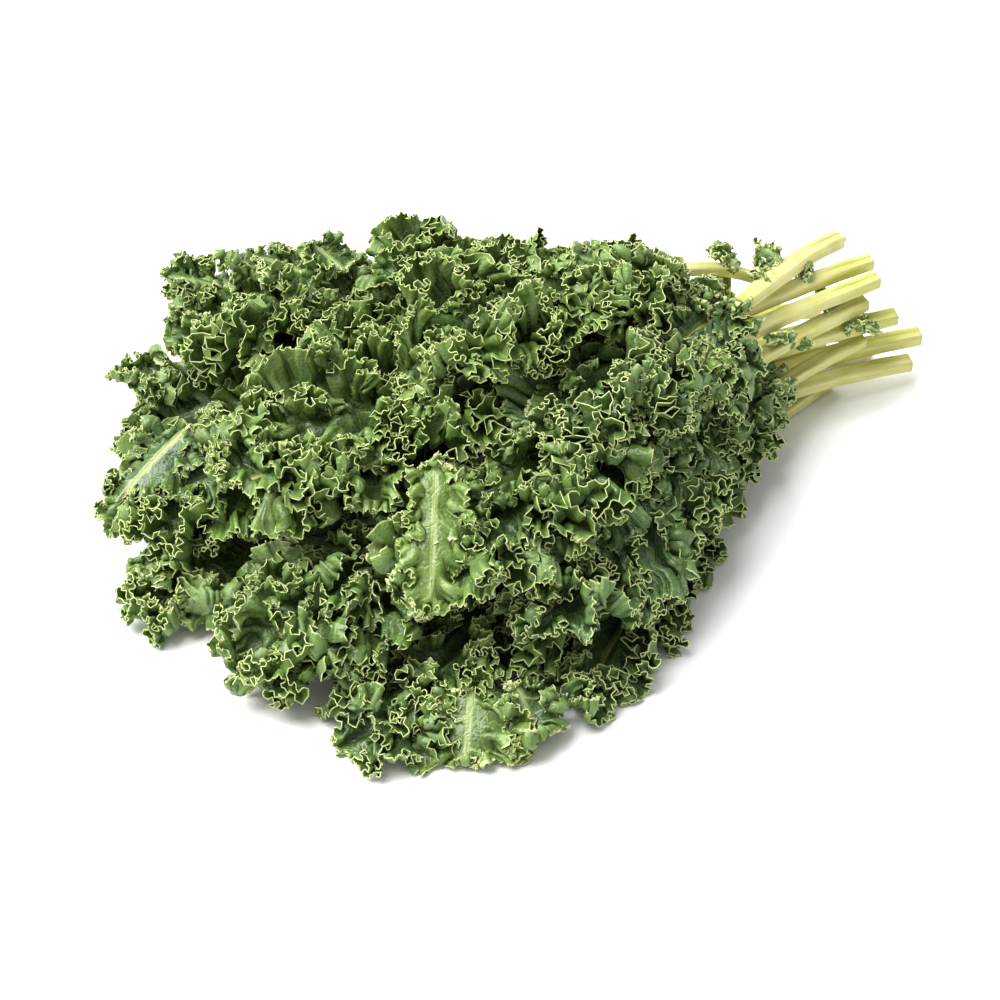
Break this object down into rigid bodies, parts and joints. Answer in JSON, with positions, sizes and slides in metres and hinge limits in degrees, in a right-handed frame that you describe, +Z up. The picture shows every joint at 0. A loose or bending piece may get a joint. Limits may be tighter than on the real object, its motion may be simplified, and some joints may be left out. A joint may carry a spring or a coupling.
{
  "type": "kale bunch",
  "caption": "Loose bunch of curly kale lying on its side: frilled green leaves fanned out from a bundle of pale crossing stalks with sliced ends.",
  "frame": {"origin": "on the surface the bunch lies on, under the middle of the bunch", "axes": "+X along the bunch towards the cut ends of the stalks, +Z up, +Y across the bunch"},
  "size_m": [0.45, 0.3538, 0.1264],
  "materials": {
    "stalk": "satin",
    "leaf": "matte"
  },
  "bodies": {
    "root": {"leaf_01_stalk": "stalk", "leaf_01_blade": "leaf", "leaf_02_stalk": "stalk", "leaf_02_blade": "leaf", "leaf_03_stalk": "stalk", "leaf_03_blade": "leaf", "leaf_04_stalk": "stalk", "leaf_04_blade": "leaf", "leaf_05_stalk": "stalk", "leaf_05_blade": "leaf", "leaf_06_stalk": "stalk", "leaf_06_blade": "leaf", "leaf_07_stalk": "stalk", "leaf_07_blade": "leaf", "leaf_08_stalk": "stalk", "leaf_08_blade": "leaf", "leaf_09_stalk": "stalk", "leaf_09_blade": "leaf", "leaf_10_stalk": "stalk", "leaf_10_blade": "leaf", "leaf_11_stalk": "stalk", "leaf_11_blade": "leaf", "leaf_12_stalk": "stalk", "leaf_12_blade": "leaf", "leaf_13_stalk": "stalk", "leaf_13_blade": "leaf", "leaf_14_stalk": "stalk", "leaf_14_blade": "leaf", "leaf_15_stalk": "stalk", "leaf_15_blade": "leaf", "leaf_16_stalk": "stalk", "leaf_16_blade": "leaf"}
  },
  "joints": []
}
